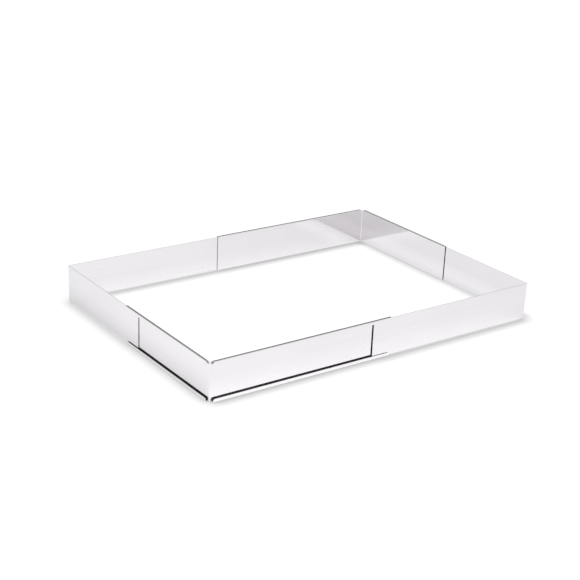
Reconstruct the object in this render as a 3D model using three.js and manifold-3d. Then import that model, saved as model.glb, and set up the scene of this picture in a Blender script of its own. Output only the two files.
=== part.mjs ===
// Adjustable cake frame: four bent sheet-steel corners that slide in one another.
// Two opposite corners have their top and bottom edges folded outwards into channels.
// The two plain corners between them slide along those channels, outside the channel walls.
// Millimetres, +Z up. The origin is on the table, at the centre of the frame.
import * as THREE from 'three';
import { mergeVertices } from 'three/addons/utils/BufferGeometryUtils.js';
import Module from 'manifold-3d';

// Driving dimensions
const wallHeight = 50;
const longArm = 254.5; // from the inside of the neighbouring wall to the arm's end
const shortArm = 185.5;
const plainShortfall = 2; // how much shorter both arms of a plain corner are
const longOverlap = 26; // how far the arms lie over each other as the frame stands
const shortOverlap = 27;
const sheet = 0.6; // thickness of the steel
const longClearance = 0.95; // on each side of a plain sheet in the middle of a long arm's channel
const shortClearance = 0.6; // the same in a short arm's channel, which is folded closer
const settleRight = 0.15; // how far both plain corners stand off the middle of their channels
const settleFront = 0.4;
const seatClearance = 0.3; // under a plain sheet in its channel
const topClearance = 0.3; // over a plain sheet in its channel
const lipHeight = 4; // outer lip of a channel, from the table
const lipCornerRadius = 2.8; // rounded ends of the lips
const foldRadius = 0.5; // inside radius of the channel folds
const cornerRadius = 1; // inside radius of the upright bend of each corner
const cornerRelief = 2; // bare wall between the upright bend and the first channel
const arcSteps = 4; // curve steps on each round stretch

// Sizes that follow
const plainLong = longArm - plainShortfall;
const plainShort = shortArm - plainShortfall;
const insideLength = longArm + plainLong - longOverlap;
const insideWidth = shortArm + plainShort - shortOverlap;
const foldOuter = foldRadius + sheet;
const channelStart = cornerRadius + cornerRelief;
const plainBottom = sheet + seatClearance;
const plainTop = wallHeight - sheet - topClearance;

const quarterTurn = Math.PI / 2;
const wasm = await Module();
wasm.setup();

// A closed geometry as a solid for joining and cutting
function toSolid(geometry) {
  const bare = geometry.clone();
  bare.deleteAttribute('normal');
  bare.deleteAttribute('uv');
  const merged = mergeVertices(bare);
  return new wasm.Manifold(new wasm.Mesh({
    numProp: 3,
    vertProperties: merged.attributes.position.array,
    triVerts: Uint32Array.from(merged.index.array),
  }));
}

function toGeometry(solid) {
  const mesh = solid.getMesh();
  const indexed = new THREE.BufferGeometry();
  indexed.setAttribute('position', new THREE.BufferAttribute(mesh.vertProperties, 3));
  indexed.setIndex(new THREE.BufferAttribute(mesh.triVerts, 1));
  const geometry = indexed.toNonIndexed();
  geometry.computeVertexNormals();
  return geometry;
}

function extrude(shape, depth) {
  return new THREE.ExtrudeGeometry(shape, { depth, bevelEnabled: false, curveSegments: arcSteps });
}

// A frame whose first two axes are given, with its origin at a point
function axes(first, second, origin) {
  const third = new THREE.Vector3().crossVectors(first, second);
  return new THREE.Matrix4().makeBasis(first, second, third).setPosition(origin);
}

const alongX = new THREE.Vector3(1, 0, 0);
const alongY = new THREE.Vector3(0, 1, 0);
const alongZ = new THREE.Vector3(0, 0, 1);
const againstX = alongX.clone().negate();
const againstY = alongY.clone().negate();

// Section of a channel wall: x runs outwards from the inside face, y runs up
function channelSection(channelWidth) {
  const near = foldOuter;
  const far = channelWidth - foldOuter;
  const low = foldOuter;
  const high = wallHeight - foldOuter;
  const section = new THREE.Shape();
  section.moveTo(channelWidth, lipHeight);
  section.lineTo(channelWidth, low);
  section.absarc(far, low, foldOuter, 0, -quarterTurn, true);
  section.absarc(near, low, foldOuter, -quarterTurn, -2 * quarterTurn, true);
  section.absarc(near, high, foldOuter, 2 * quarterTurn, quarterTurn, true);
  section.absarc(far, high, foldOuter, quarterTurn, 0, true);
  section.lineTo(channelWidth, wallHeight - lipHeight);
  section.lineTo(channelWidth - sheet, wallHeight - lipHeight);
  section.absarc(far, high, foldRadius, 0, quarterTurn, false);
  section.absarc(near, high, foldRadius, quarterTurn, 2 * quarterTurn, false);
  section.absarc(near, low, foldRadius, -2 * quarterTurn, -quarterTurn, false);
  section.absarc(far, low, foldRadius, -quarterTurn, 0, false);
  section.lineTo(channelWidth - sheet, lipHeight);
  section.closePath();
  return section;
}

// What comes off a square corner at the origin to round it, with room outside it for a clean cut
function cornerOffcut() {
  const room = sheet;
  const offcut = new THREE.Shape();
  offcut.moveTo(-room, -room);
  offcut.lineTo(lipCornerRadius, -room);
  offcut.absarc(lipCornerRadius, lipCornerRadius, lipCornerRadius, -quarterTurn, -2 * quarterTurn, true);
  offcut.lineTo(-room, lipCornerRadius);
  offcut.closePath();
  return offcut;
}

// One straight channel arm, its section in x and y and its length along z, with round-ended lips
function channelArm(length, clearance) {
  const channelWidth = 3 * sheet + 2 * clearance; // wall, plain sheet and lip
  let arm = toSolid(extrude(channelSection(channelWidth), length));
  const depth = sheet + clearance;
  const lipOuter = channelWidth + clearance / 2;
  const lipCorners = [
    { along: 0, up: wallHeight - lipHeight, turn: 0 },
    { along: length, up: wallHeight - lipHeight, turn: quarterTurn },
    { along: length, up: lipHeight, turn: 2 * quarterTurn },
    { along: 0, up: lipHeight, turn: -quarterTurn },
  ];
  for (const corner of lipCorners) {
    const place = new THREE.Vector3(lipOuter, corner.up, corner.along);
    const offcut = extrude(cornerOffcut(), depth).rotateZ(corner.turn);
    offcut.applyMatrix4(axes(alongZ, alongY, place));
    arm = arm.subtract(toSolid(offcut));
  }
  return toGeometry(arm);
}

// Plan of a bent strip: one leg along x and one along y, each set out from its axis by its own offset
function bentStrip(legX, offsetX, legY, offsetY) {
  const centreX = cornerRadius - offsetY;
  const centreY = cornerRadius - offsetX;
  const strip = new THREE.Shape();
  strip.moveTo(legX, -offsetX);
  strip.lineTo(centreX, -offsetX);
  strip.absarc(centreX, centreY, cornerRadius, -quarterTurn, -2 * quarterTurn, true);
  strip.lineTo(-offsetY, legY);
  strip.lineTo(-offsetY - sheet, legY);
  strip.absarc(centreX, centreY, cornerRadius + sheet, 2 * quarterTurn, 3 * quarterTurn, false);
  strip.lineTo(legX, -offsetX - sheet);
  strip.closePath();
  return strip;
}

// Corner with channels on both arms, its inside corner at the origin, long arm along +X
function channelCorner() {
  const longStart = new THREE.Vector3(longArm, 0, 0);
  const shortStart = new THREE.Vector3(0, channelStart, 0);
  const long = channelArm(longArm - channelStart, longClearance);
  const short = channelArm(shortArm - channelStart, shortClearance);
  long.applyMatrix4(axes(againstY, alongZ, longStart));
  short.applyMatrix4(axes(againstX, alongZ, shortStart));
  const leg = channelStart + sheet; // the bend laps into both arms, so that they join
  const bend = extrude(bentStrip(leg, 0, leg, 0), wallHeight - 2 * foldOuter).translate(0, 0, foldOuter);
  return toGeometry(toSolid(long).add(toSolid(short)).add(toSolid(bend)));
}

// Plain corner, short arm along +X and long arm along +Y
function plainCorner() {
  const plan = bentStrip(plainShort, sheet + shortClearance, plainLong, sheet + longClearance);
  return extrude(plan, plainTop - plainBottom).translate(0, 0, plainBottom);
}

function corner(name, geometry, x, y, turn) {
  const steel = new THREE.MeshStandardMaterial({ color: 0xe6e5e8, metalness: 1, roughness: 0.15 });
  const mesh = new THREE.Mesh(geometry, steel);
  mesh.name = name;
  mesh.position.set(x, y, 0);
  mesh.rotation.z = turn;
  return mesh;
}

const halfLength = insideLength / 2;
const halfWidth = insideWidth / 2;
const plainRight = halfLength + settleRight;
const plainLeft = -halfLength + settleRight;
const plainFront = -halfWidth - settleFront;
const plainBack = halfWidth - settleFront;
const frame = new THREE.Group();
frame.add(corner('front_channel_corner', channelCorner(), -halfLength, -halfWidth, 0));
frame.add(corner('right_plain_corner', plainCorner(), plainRight, plainFront, quarterTurn));
frame.add(corner('back_channel_corner', channelCorner(), halfLength, halfWidth, 2 * quarterTurn));
frame.add(corner('left_plain_corner', plainCorner(), plainLeft, plainBack, -quarterTurn));

export default frame;
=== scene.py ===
import math

import bmesh
import bpy
from mathutils import Matrix, Vector


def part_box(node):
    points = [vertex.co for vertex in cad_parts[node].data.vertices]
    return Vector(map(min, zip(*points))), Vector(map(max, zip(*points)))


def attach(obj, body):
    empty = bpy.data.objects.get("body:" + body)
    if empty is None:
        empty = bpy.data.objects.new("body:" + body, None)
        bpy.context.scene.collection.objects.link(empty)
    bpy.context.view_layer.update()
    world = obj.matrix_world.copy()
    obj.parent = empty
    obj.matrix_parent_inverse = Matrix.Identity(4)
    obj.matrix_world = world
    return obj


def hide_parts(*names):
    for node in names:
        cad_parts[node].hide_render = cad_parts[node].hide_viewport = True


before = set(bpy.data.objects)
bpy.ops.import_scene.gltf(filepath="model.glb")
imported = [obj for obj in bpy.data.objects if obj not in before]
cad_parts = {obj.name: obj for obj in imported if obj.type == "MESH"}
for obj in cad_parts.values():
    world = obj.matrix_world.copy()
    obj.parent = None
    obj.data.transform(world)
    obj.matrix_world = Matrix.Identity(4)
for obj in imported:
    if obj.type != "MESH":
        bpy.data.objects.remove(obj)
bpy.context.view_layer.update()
print("frame loaded:", sorted(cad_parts))

near = 0.0001  # how close counts as being on a line, in metres
weld = near / 50  # points closer than this become one
cutAngle = math.radians(50)  # sharper edges than this are softened
smoothAngle = math.radians(35)  # faces that meet flatter than this are shaded as one
# the third place holds the painted shade, a dark steel inside the channels
wallSlot, edgeSlot, channelShadeSlot = 0, 1, 2  # places in a piece's list of materials


# selecting and shaping

def deselectAll():
    if bpy.context.object and bpy.context.object.mode != "OBJECT":
        bpy.ops.object.mode_set(mode="OBJECT")
    bpy.ops.object.select_all(action="DESELECT")


def pick(piece, kind, test):
    bpy.ops.mesh.select_mode(type=kind)
    bpy.ops.mesh.select_all(action="DESELECT")
    shape = bmesh.from_edit_mesh(piece.data)
    parts = {"VERT": shape.verts, "EDGE": shape.edges, "FACE": shape.faces}[kind]
    for part in parts:
        points = [part.co] if kind == "VERT" else [vert.co for vert in part.verts]
        if test(points):
            part.select_set(True)
    shape.select_flush_mode()
    bmesh.update_edit_mesh(piece.data)


def pull(move):
    bpy.ops.mesh.extrude_region_move(TRANSFORM_OT_translate={"value": move})


def roundOff(kind, radius, steps):
    bpy.ops.mesh.bevel(
        offset=radius, offset_type="OFFSET", segments=steps, profile=0.5,
        affect=kind, clamp_overlap=False)


def finishWith(piece, kind, **values):
    modifier = piece.modifiers.new(kind.lower(), kind)
    for name, value in values.items():
        setattr(modifier, name, value)
    bpy.ops.object.modifier_apply(modifier=modifier.name)


# an upright L of bare sheet: inside faces of both arms, its corner at x, y
def standSheet(name, x, y, endX, endY, bottom, top):
    deselectAll()
    middle = ((x + endX) / 2, y, (bottom + top) / 2)
    bpy.ops.mesh.primitive_plane_add(size=1, location=middle, rotation=(-math.pi / 2, 0, 0))
    piece = bpy.context.object
    piece.name = name
    piece.data.name = name
    piece.scale = (abs(endX - x), top - bottom, 1)
    bpy.ops.object.transform_apply(location=True, rotation=True, scale=True)
    bpy.ops.object.mode_set(mode="EDIT")
    pick(piece, "EDGE", lambda ps: all(abs(p.x - x) < near for p in ps))
    pull((0, endY - y, 0))
    return piece


# gives the skin its thickness away from the cake space, softens its cut edges and keeps the flats flat
def thickenSheet(piece, look, inwards):
    bpy.ops.mesh.select_mode(type="FACE")
    bpy.ops.mesh.select_all(action="SELECT")
    bpy.ops.mesh.remove_doubles(threshold=weld)
    bpy.ops.mesh.normals_make_consistent(inside=False)
    shape = bmesh.from_edit_mesh(piece.data)
    wall = max(shape.faces, key=lambda face: face.calc_area())
    if wall.normal.dot(Vector(inwards)) < 0:
        bpy.ops.mesh.flip_normals()
    bpy.ops.object.mode_set(mode="OBJECT")
    piece.data.materials.append(steel)
    piece.data.materials.append(cutEdge)
    finishWith(
        piece, "SOLIDIFY", thickness=look["thick"], offset=-1, use_even_offset=True,
        use_quality_normals=True, material_offset_rim=edgeSlot)
    finishWith(
        piece, "BEVEL", width=look["edgeRound"], segments=look["edgeSteps"], limit_method="ANGLE",
        angle_limit=cutAngle, material=edgeSlot)
    bpy.ops.object.shade_smooth_by_angle(angle=smoothAngle)
    finishWith(piece, "WEIGHTED_NORMAL", weight=100, keep_sharp=True)


# the opposite corner: a half turn about the frame's middle, then onto its own node's place
def oppositeCopy(piece, name, node):
    copy = piece.copy()
    copy.data = piece.data.copy()
    copy.name = name
    copy.data.name = name
    bpy.context.scene.collection.objects.link(copy)
    copy.data.transform(Matrix.Rotation(math.pi, 4, "Z"))
    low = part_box(node)[0]
    shiftX = low.x - min(vert.co.x for vert in copy.data.vertices)
    shiftY = low.y - min(vert.co.y for vert in copy.data.vertices)
    copy.data.transform(Matrix.Translation((shiftX, shiftY, 0)))
    return copy


def settle(piece, body, node):
    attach(piece, body)
    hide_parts(node)


# steel

def newMaterial(name):
    material = bpy.data.materials.new(name)
    material.use_nodes = True
    tree = material.node_tree
    tree.nodes.clear()
    output = tree.nodes.new("ShaderNodeOutputMaterial")
    return material, tree, output


def addNode(tree, kind, **values):
    node = tree.nodes.new(kind)
    for name, value in values.items():
        if name in node.inputs:
            node.inputs[name].default_value = value
        else:
            setattr(node, name, value)
    return node


def join(tree, fromSocket, toSocket):
    tree.links.new(fromSocket, toSocket)


def spread(tree, source, low, high, newLow, newHigh):
    node = addNode(tree, "ShaderNodeMapRange")
    for name, value in (("From Min", low), ("From Max", high), ("To Min", newLow), ("To Max", newHigh)):
        node.inputs[name].default_value = value
    join(tree, source, node.inputs["Value"])
    return node.outputs[0]


def combine(tree, operation, first, second):
    node = addNode(tree, "ShaderNodeMath", operation=operation)
    for socket, value in zip(node.inputs, (first, second)):
        if isinstance(value, (int, float)):
            socket.default_value = value
        else:
            join(tree, value, socket)
    return node.outputs[0]


def choose(tree, factor, no, yes):
    node = addNode(tree, "ShaderNodeMix", data_type="FLOAT")
    for name, value in (("Factor", factor), ("A", no), ("B", yes)):
        if isinstance(value, (int, float)):
            node.inputs[name].default_value = value
        else:
            join(tree, value, node.inputs[name])
    return node.outputs[0]


# coordinates that run along the sheet and across it, on both arms
def rolledCoords(tree, along, across):
    place = addNode(tree, "ShaderNodeTexCoord")
    split = addNode(tree, "ShaderNodeSeparateXYZ")
    run = addNode(tree, "ShaderNodeCombineXYZ")
    scale = addNode(tree, "ShaderNodeMapping")
    scale.inputs["Scale"].default_value = (along, across, 1)
    join(tree, place.outputs["Object"], split.inputs[0])
    join(tree, combine(tree, "ADD", split.outputs["X"], split.outputs["Y"]), run.inputs["X"])
    join(tree, split.outputs["Z"], run.inputs["Y"])
    join(tree, run.outputs[0], scale.inputs["Vector"])
    return scale.outputs[0]


def noise(tree, coords, scale, detail, roughness):
    node = addNode(tree, "ShaderNodeTexNoise", Scale=scale, Detail=detail, Roughness=roughness)
    join(tree, coords, node.inputs["Vector"])
    return node.outputs["Fac"]


# two greys mixed by a factor
def mixTones(tree, look, factor, shader):
    tone = addNode(tree, "ShaderNodeMix", data_type="RGBA")
    tone.inputs["A"].default_value = (*look["grey"], 1)
    tone.inputs["B"].default_value = (*look["bright"], 1)
    join(tree, factor, tone.inputs["Factor"])
    join(tree, tone.outputs["Result"], shader.inputs["Base Color"])


def bump(tree, height, distance, under=None):
    node = addNode(tree, "ShaderNodeBump", Strength=1.0, Distance=distance)
    join(tree, height, node.inputs["Height"])
    if under:
        join(tree, under, node.inputs["Normal"])
    return node.outputs[0]


brightSteel = {
    "bright": (0.770, 0.754, 0.773),
    "grey": (0.750, 0.734, 0.753),
    "rollAlong": 5,        # rolling lines, per metre along and across the sheet
    "rollAcross": 2600,
    "streakAlong": 3,
    "streakAcross": 240,
    "rollHeight": 0.0000012,
    "waveHeight": 0.00003,
    "smooth": 0.045,
    "rough": 0.10,
    "foldRough": 0.09,     # folds and handled edges are duller
    "foldStart": 0.0235,   # from the middle of the wall's height
    "foldFull": 0.0247,
    "foldWear": 0.35,
    "middle": 0.025,
    "rollNoise": (1, 4, 0.6),      # scale, detail and roughness
    "streakNoise": (1, 3, 0.55),
    "cloudNoise": (16, 3, 0.5),
    "waveNoise": (11, 1, 0.4),
    "toneRange": (0.36, 0.64),     # stretch of each noise that is used
    "polishRange": (0.3, 0.7),
    "smudgeRange": (0.45, 0.75),
    "smudgeRough": 0.03,
}


def makeBrightSteel():
    look = brightSteel
    material, tree, output = newMaterial("brightSteel")
    shader = addNode(tree, "ShaderNodeBsdfPrincipled", Metallic=1.0)
    place = addNode(tree, "ShaderNodeTexCoord").outputs["Object"]
    alongRolls = rolledCoords(tree, look["rollAlong"], look["rollAcross"])
    alongStreaks = rolledCoords(tree, look["streakAlong"], look["streakAcross"])
    rolling = noise(tree, alongRolls, *look["rollNoise"])
    streaks = noise(tree, alongStreaks, *look["streakNoise"])
    clouds = noise(tree, place, *look["cloudNoise"])
    waves = noise(tree, place, *look["waveNoise"])
    heights = addNode(tree, "ShaderNodeSeparateXYZ")
    join(tree, place, heights.inputs[0])
    above = combine(tree, "SUBTRACT", heights.outputs["Z"], look["middle"])
    fromMiddle = combine(tree, "ABSOLUTE", above, 0)
    folds = spread(tree, fromMiddle, look["foldStart"], look["foldFull"], 0, 1)

    mixed = combine(tree, "MULTIPLY", combine(tree, "ADD", streaks, clouds), 0.5)
    wear = combine(tree, "MULTIPLY", folds, look["foldWear"])
    worn = combine(tree, "SUBTRACT", spread(tree, mixed, *look["toneRange"], 0, 1), wear)
    mixTones(tree, look, worn, shader)

    polish = spread(tree, rolling, *look["polishRange"], look["smooth"], look["rough"])
    smudge = spread(tree, clouds, *look["smudgeRange"], 0, look["smudgeRough"])
    dull = combine(tree, "MULTIPLY", folds, look["foldRough"])
    rough = combine(tree, "ADD", combine(tree, "ADD", polish, smudge), dull)
    join(tree, rough, shader.inputs["Roughness"])

    rolled = bump(tree, rolling, look["rollHeight"])
    join(tree, bump(tree, waves, look["waveHeight"], rolled), shader.inputs["Normal"])
    join(tree, shader.outputs[0], output.inputs["Surface"])
    return material


cutSteel = {
    "bright": (0.84, 0.84, 0.85),
    "grey": (0.68, 0.68, 0.69),
    "lines": 1800,         # shear lines per metre along the sheet and up it
    "linesUp": 90,
    "lineHeight": 0.00001,
    "smooth": 0.25,
    "rough": 0.45,
    "lineNoise": (1, 3, 0.6),
    "toneRange": (0.35, 0.65),
    "polishRange": (0.3, 0.7),
}


def makeCutSteel():
    look = cutSteel
    material, tree, output = newMaterial("cutSteel")
    shader = addNode(tree, "ShaderNodeBsdfPrincipled", Metallic=1.0)
    lines = noise(tree, rolledCoords(tree, look["lines"], look["linesUp"]), *look["lineNoise"])
    mixTones(tree, look, spread(tree, lines, *look["toneRange"], 0, 1), shader)
    polish = spread(tree, lines, *look["polishRange"], look["rough"], look["smooth"])
    join(tree, polish, shader.inputs["Roughness"])
    join(tree, bump(tree, lines, look["lineHeight"]), shader.inputs["Normal"])
    join(tree, shader.outputs[0], output.inputs["Surface"])
    return material


# painted shade: dark steel that darkens the slot inside the channels
channelShadeSteel = {
    "bright": (0.46, 0.455, 0.45),
    "grey": (0.26, 0.255, 0.25),
    "alongMarks": 12,      # forming marks, per metre along and across the fold
    "acrossMarks": 900,
    "markHeight": 0.000004,
    "smooth": 0.3,
    "rough": 0.5,
    "markNoise": (1, 4, 0.6),
    "stainNoise": (60, 4, 0.6),
    "toneRange": (0.35, 0.65),
    "polishRange": (0.3, 0.7),
}


# duller steel, never polished after folding, with blotchy noise in its tone; its dark colour is painted
# shade for the slot inside the channels
def makeChannelShadeSteel():
    look = channelShadeSteel
    material, tree, output = newMaterial("channelShadeSteel")
    shader = addNode(tree, "ShaderNodeBsdfPrincipled", Metallic=1.0)
    place = addNode(tree, "ShaderNodeTexCoord").outputs["Object"]
    alongFold = rolledCoords(tree, look["alongMarks"], look["acrossMarks"])
    marks = noise(tree, alongFold, *look["markNoise"])
    stains = noise(tree, place, *look["stainNoise"])
    mixed = combine(tree, "MULTIPLY", combine(tree, "ADD", marks, stains), 0.5)
    mixTones(tree, look, spread(tree, mixed, *look["toneRange"], 0, 1), shader)
    polish = spread(tree, stains, *look["polishRange"], look["rough"], look["smooth"])
    join(tree, polish, shader.inputs["Roughness"])
    join(tree, bump(tree, marks, look["markHeight"]), shader.inputs["Normal"])
    join(tree, shader.outputs[0], output.inputs["Surface"])
    return material


steel = makeBrightSteel()
cutEdge = makeCutSteel()
# dark steel as painted shade for the slot inside the channels
channelShadeInside = makeChannelShadeSteel()
print("materials made")

# channel corners: long edges folded outwards and back, bare at the upright bend

channelSheet = {
    "thick": 0.0006,
    "longWidth": 0.0037,   # channels on the long arm and on the short one
    "shortWidth": 0.0030,
    "foldRadius": 0.0011,
    "foldSteps": 8,
    "lipHeight": 0.004,
    "lipCorner": 0.0028,
    "lipSteps": 8,
    "bendRadius": 0.001,
    "bendSteps": 8,
    "bareCorner": 0.003,
    "edgeRound": 0.0001,
    "edgeSteps": 2,
}


def makeChannelCorner():
    look = channelSheet
    first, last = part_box("front_channel_corner")
    lip, fold, top = look["lipHeight"], look["foldRadius"], last.z
    x, y = first.x + look["shortWidth"], first.y + look["longWidth"]
    startX, startY = x + look["bareCorner"], y + look["bareCorner"]
    piece = standSheet("frontChannelCorner", x, y, last.x, last.y, 0, top)

    # level lines on the wall behind the lips
    for level in (lip, top - lip):
        bpy.ops.mesh.select_all(action="SELECT")
        bpy.ops.mesh.bisect(plane_co=(0, 0, level), plane_no=(0, 0, 1))

    # bare strip at the bend, cut back to the fold lines
    bpy.ops.mesh.select_all(action="SELECT")
    bpy.ops.mesh.bisect(plane_co=(startX, 0, 0), plane_no=(1, 0, 0))
    bpy.ops.mesh.select_all(action="SELECT")
    bpy.ops.mesh.bisect(plane_co=(0, startY, 0), plane_no=(0, 1, 0))
    for level in (fold, top - fold):
        pick(piece, "FACE", lambda ps: all(p.x < startX + near and p.y < startY + near for p in ps))
        bpy.ops.mesh.bisect(plane_co=(0, 0, level), plane_no=(0, 0, 1))
    for low, high in ((0, fold), (top - fold, top)):
        pick(piece, "FACE", lambda ps: all(
            p.x < startX + near and p.y < startY + near and low - near < p.z < high + near for p in ps))
        bpy.ops.mesh.delete(type="FACE")

    # channels, each pulled out from the wall's edge and turned back as a lip
    for level, turnBack in ((0, lip), (top, -lip)):
        pick(piece, "EDGE", lambda ps: all(abs(p.z - level) < near and p.x > startX - near for p in ps))
        pull((0, -look["longWidth"], 0))
        pull((0, 0, turnBack))
        pick(piece, "EDGE", lambda ps: all(
            abs(p.z - level) < near and p.y > startY - near and p.x < startX - near for p in ps))
        pull((-look["shortWidth"], 0, 0))
        pull((0, 0, turnBack))

    lipEdges = (lip, top - lip)
    pick(piece, "VERT", lambda ps: any(abs(ps[0].z - level) < near for level in lipEdges) and (
        abs(ps[0].y - first.y) < near or abs(ps[0].x - first.x) < near))
    roundOff("VERTICES", look["lipCorner"], look["lipSteps"])

    def onFold(ps):
        flat = all(p.z < near or p.z > top - near for p in ps) and abs(ps[0].z - ps[1].z) < near
        onLong = all(p.y < y + near for p in ps) and abs(ps[0].y - ps[1].y) < near
        onShort = all(p.x < x + near for p in ps) and abs(ps[0].x - ps[1].x) < near
        return flat and (onLong or onShort)

    pick(piece, "EDGE", onFold)
    roundOff("EDGES", fold, look["foldSteps"])
    pick(piece, "EDGE", lambda ps: all(abs(p.x - x) < near and abs(p.y - y) < near for p in ps))
    roundOff("EDGES", look["bendRadius"], look["bendSteps"])
    thickenSheet(piece, look, (0, 1, 0))

    # painted shade: dark, dull steel on the faces inside the channels
    piece.data.materials.append(channelShadeInside)
    skin = look["thick"] - near / 10  # a hair less than the sheet, so that its faces count as inside
    for face in piece.data.polygons:
        inLong = skin < y - face.center.y < look["longWidth"] - skin
        inShort = skin < x - face.center.x < look["shortWidth"] - skin
        inLip = min(face.center.z, top - face.center.z) < lip
        if face.material_index == wallSlot and inLip and (inLong or inShort):
            face.material_index = channelShadeSlot
    return piece


frontCorner = makeChannelCorner()
backCorner = oppositeCopy(frontCorner, "backChannelCorner", "back_channel_corner")
settle(frontCorner, "front_corner", "front_channel_corner")
settle(backCorner, "back_corner", "back_channel_corner")
print("channel corners made")

# plain corners: one bare bend

plainSheet = {
    "thick": 0.0006,
    "bendRadius": 0.001,
    "bendSteps": 8,
    "edgeRound": 0.0001,
    "edgeSteps": 2,
}


def makePlainCorner():
    look = plainSheet
    low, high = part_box("left_plain_corner")
    x, y = low.x + look["thick"], high.y - look["thick"]
    piece = standSheet("leftPlainCorner", x, y, high.x, low.y, low.z, high.z)
    pick(piece, "EDGE", lambda ps: all(abs(p.x - x) < near and abs(p.y - y) < near for p in ps))
    roundOff("EDGES", look["bendRadius"], look["bendSteps"])
    thickenSheet(piece, look, (0, -1, 0))
    return piece


leftCorner = makePlainCorner()
rightCorner = oppositeCopy(leftCorner, "rightPlainCorner", "right_plain_corner")
settle(leftCorner, "left_corner", "left_plain_corner")
settle(rightCorner, "right_corner", "right_plain_corner")
print("plain corners made")

# stage

stageFloor = {
    "size": 60,
    "colour": (0.8, 0.8, 0.8),
    "eyePaint": 0.1,       # share of the lit paint that the camera sees
    "eyeGlow": 0.96,       # the rest, up to plain white
    "mirrorPaint": 0.7,    # the same two in the steel
    "mirrorGlow": 0.647,
    "poolMiddle": (-0.35, -0.1, 0),  # that glow is a pool of light that fades outwards
    "poolReach": 0.7,
    "poolEdge": 0.69,
    "rays": 8,             # that look for walls close by
    "contactReach": 0.02,  # shade on the floor beside a wall
    "contactFull": 0.5,    # openness at which it is full
    "contactShade": 0.5,
    "contactLean": (-0.26, 0.15, 0.95),
    "thrownReach": 0.052,  # light that a wall throws on the floor before it, as the steel shows it
    "thrownFull": 0.2,
    "thrownLight": 0.43,
    "thrownLean": (1, 0.25, 0.5),
    "shadedSide": (-0.2435, -0.2415),  # left of here the steel shows shade instead
    "mirrorShade": 0.9,
}


# pale floor, shaded softly where the frame stands on it
def makeFloor():
    look = stageFloor
    deselectAll()
    bpy.ops.mesh.primitive_plane_add(size=look["size"])
    floor = bpy.context.object
    floor.name = "floor"
    material, tree, output = newMaterial("paleFloor")
    rays = addNode(tree, "ShaderNodeLightPath")
    eye = rays.outputs["Is Camera Ray"]
    mirror = combine(tree, "MAXIMUM", rays.outputs["Is Glossy Ray"], rays.outputs["Is Transmission Ray"])

    # 1 in the open, less the more a wall close by shuts off on the side leaned to
    def openness(lean, reach):
        x, y, z = Vector(lean).normalized()
        aim = addNode(tree, "ShaderNodeCombineXYZ", X=x, Y=y, Z=z)
        walls = addNode(tree, "ShaderNodeAmbientOcclusion", Distance=reach, samples=look["rays"])
        join(tree, aim.outputs[0], walls.inputs["Normal"])
        return walls.outputs["AO"]

    contact = openness(look["contactLean"], look["contactReach"])
    place = addNode(tree, "ShaderNodeTexCoord").outputs["Object"]
    split = addNode(tree, "ShaderNodeSeparateXYZ")
    join(tree, place, split.inputs[0])
    lit = spread(tree, split.outputs["X"], *look["shadedSide"], 0, 1)
    leftShade = spread(tree, contact, look["contactFull"], 1, look["mirrorShade"], 1)
    eyeShade = spread(tree, contact, look["contactFull"], 1, look["contactShade"], 1)
    shade = choose(tree, eye, choose(tree, lit, leftShade, 1), eyeShade)
    paintShare = choose(tree, eye, choose(tree, mirror, 1, look["mirrorPaint"]), look["eyePaint"])

    pool = addNode(tree, "ShaderNodeVectorMath", operation="DISTANCE")
    pool.inputs[1].default_value = look["poolMiddle"]
    join(tree, place, pool.inputs[0])
    edgeGlow = look["mirrorGlow"] * look["poolEdge"]
    poolGlow = spread(tree, pool.outputs["Value"], 0, look["poolReach"], look["mirrorGlow"], edgeGlow)
    thrownOpen = openness(look["thrownLean"], look["thrownReach"])
    thrown = spread(tree, thrownOpen, look["thrownFull"], 1, 1 + look["thrownLight"], 1)
    mirrorGlow = combine(tree, "MULTIPLY", poolGlow, choose(tree, lit, 1, thrown))
    glowShare = choose(tree, eye, choose(tree, mirror, 0, mirrorGlow), look["eyeGlow"])
    paintColour = addNode(tree, "ShaderNodeMix", data_type="RGBA")
    paintColour.inputs["A"].default_value = (0, 0, 0, 1)
    paintColour.inputs["B"].default_value = (*look["colour"], 1)
    join(tree, combine(tree, "MULTIPLY", paintShare, shade), paintColour.inputs["Factor"])
    paint = addNode(tree, "ShaderNodeBsdfDiffuse")
    join(tree, paintColour.outputs["Result"], paint.inputs["Color"])
    glow = addNode(tree, "ShaderNodeEmission")
    join(tree, combine(tree, "MULTIPLY", glowShare, shade), glow.inputs["Strength"])
    both = addNode(tree, "ShaderNodeAddShader")
    join(tree, paint.outputs[0], both.inputs[0])
    join(tree, glow.outputs[0], both.inputs[1])
    join(tree, both.outputs[0], output.inputs["Surface"])
    floor.data.materials.append(material)


studioDome = {
    # height and level along the dark band, which gives way towards the front
    "band": ((0.0, 1.0), (0.12, 1.0), (0.22, 0.45), (0.44, 0.45), (0.54, 1.0)),
    "bandFront": (0.2, 0.6),
    "brightSide": (0.2, -0.95, 0.25),
    "sideLow": 0.65,
    "sideHigh": 1.3,
    "darkCard": (0.62, 0.35, 0.70),  # draws the folds of the front and back walls
    "cardLevel": 0.45,
    "cardFull": 18,        # degrees from its middle
    "cardEdge": 26,
}


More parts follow.
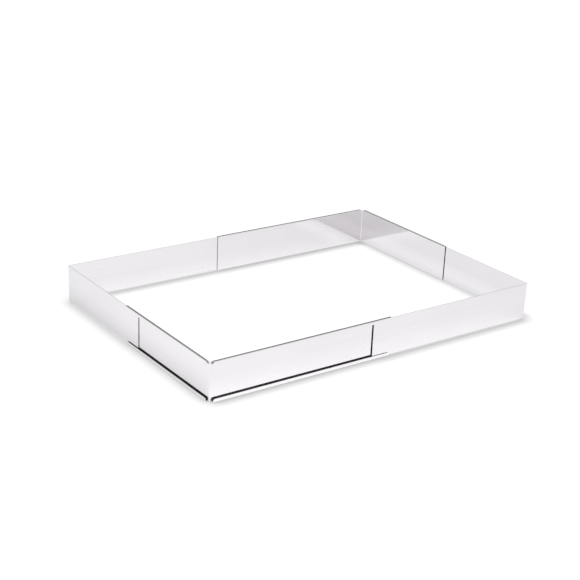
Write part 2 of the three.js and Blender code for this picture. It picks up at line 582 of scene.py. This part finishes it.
# big soft dome, brighter to the front, with a dark band round the rest and a dark card
# to the camera it is plain white
def makeDome():
    look = studioDome
    world = bpy.data.worlds.new("studioDome")
    bpy.context.scene.world = world
    world.use_nodes = True
    tree = world.node_tree
    tree.nodes.clear()
    output = tree.nodes.new("ShaderNodeOutputWorld")
    back = addNode(tree, "ShaderNodeBackground")
    place = addNode(tree, "ShaderNodeTexCoord").outputs["Generated"]
    split = addNode(tree, "ShaderNodeSeparateXYZ")
    join(tree, place, split.inputs[0])
    ramp = addNode(tree, "ShaderNodeValToRGB")
    stops = ramp.color_ramp.elements
    while len(stops) < len(look["band"]):
        stops.new(0.5)
    for stop, (height, level) in zip(stops, look["band"]):
        stop.position = height
        stop.color = (level, level, level, 1)
    join(tree, split.outputs["Z"], ramp.inputs["Fac"])

    def facing(direction):
        towards = addNode(tree, "ShaderNodeVectorMath", operation="DOT_PRODUCT")
        towards.inputs[1].default_value = Vector(direction).normalized()
        join(tree, place, towards.inputs[0])
        return towards.outputs["Value"]

    towardsFront = facing(look["brightSide"])
    side = spread(tree, towardsFront, -1, 1, look["sideLow"], look["sideHigh"])
    front = spread(tree, towardsFront, *look["bandFront"], 0, 1)
    band = choose(tree, front, ramp.outputs["Color"], 1)
    full, edge = (math.cos(math.radians(look[k])) for k in ("cardFull", "cardEdge"))
    card = spread(tree, facing(look["darkCard"]), edge, full, 1, look["cardLevel"])
    level = combine(tree, "MULTIPLY", combine(tree, "MINIMUM", band, card), side)
    eye = addNode(tree, "ShaderNodeLightPath").outputs["Is Camera Ray"]
    join(tree, choose(tree, eye, level, 1), back.inputs["Strength"])
    join(tree, back.outputs[0], output.inputs["Surface"])


softbox = {
    "place": (0.55, -1.75, 1.88),
    "aim": (0, 0, 0.02),
    "size": (1.2, 0.9),
    "power": 28,
}


def makeSoftbox():
    look = softbox
    lamp = bpy.data.lights.new("softbox", "AREA")
    lamp.shape = "RECTANGLE"
    lamp.size, lamp.size_y = look["size"]
    lamp.energy = look["power"]
    box = bpy.data.objects.new("softbox", lamp)
    box.location = look["place"]
    aim = Vector(look["aim"]) - Vector(look["place"])
    box.rotation_euler = aim.to_track_quat("-Z", "Y").to_euler()
    box.visible_glossy = False  # the steel shows the dome alone
    bpy.context.scene.collection.objects.link(box)


makeFloor()
makeDome()
makeSoftbox()
print("stage set")

# camera at the photograph's angle

photoCamera = {
    "azimuth": -36.07,
    "elevation": 21.63,
    "roll": 2.434,
    "target": (-0.00477, 0.0093, 0.025),
    "distance": 1.7051,
    "lens": 81.11,
    "sensor": 36,
    "clipEnd": 200,
}


def makeCamera():
    look = photoCamera
    azimuth, elevation, roll = (math.radians(look[k]) for k in ("azimuth", "elevation", "roll"))
    back = Vector((
        math.sin(azimuth) * math.cos(elevation),
        -math.cos(azimuth) * math.cos(elevation),
        math.sin(elevation)))
    side = (-back).cross(Vector((0, 0, 1))).normalized()
    up = side.cross(-back)
    turnedSide = side * math.cos(roll) + up * math.sin(roll)
    turnedUp = up * math.cos(roll) - side * math.sin(roll)
    lens = bpy.data.cameras.new("photoCamera")
    lens.lens = look["lens"]
    lens.sensor_width = look["sensor"]
    lens.clip_end = look["clipEnd"]
    camera = bpy.data.objects.new("photoCamera", lens)
    bpy.context.scene.collection.objects.link(camera)
    turn = Matrix((turnedSide, turnedUp, back)).transposed().to_4x4()
    camera.matrix_world = Matrix.Translation(Vector(look["target"]) + back * look["distance"]) @ turn
    bpy.context.scene.camera = camera


makeCamera()
bpy.context.scene.view_settings.view_transform = "Standard"
print("camera set")
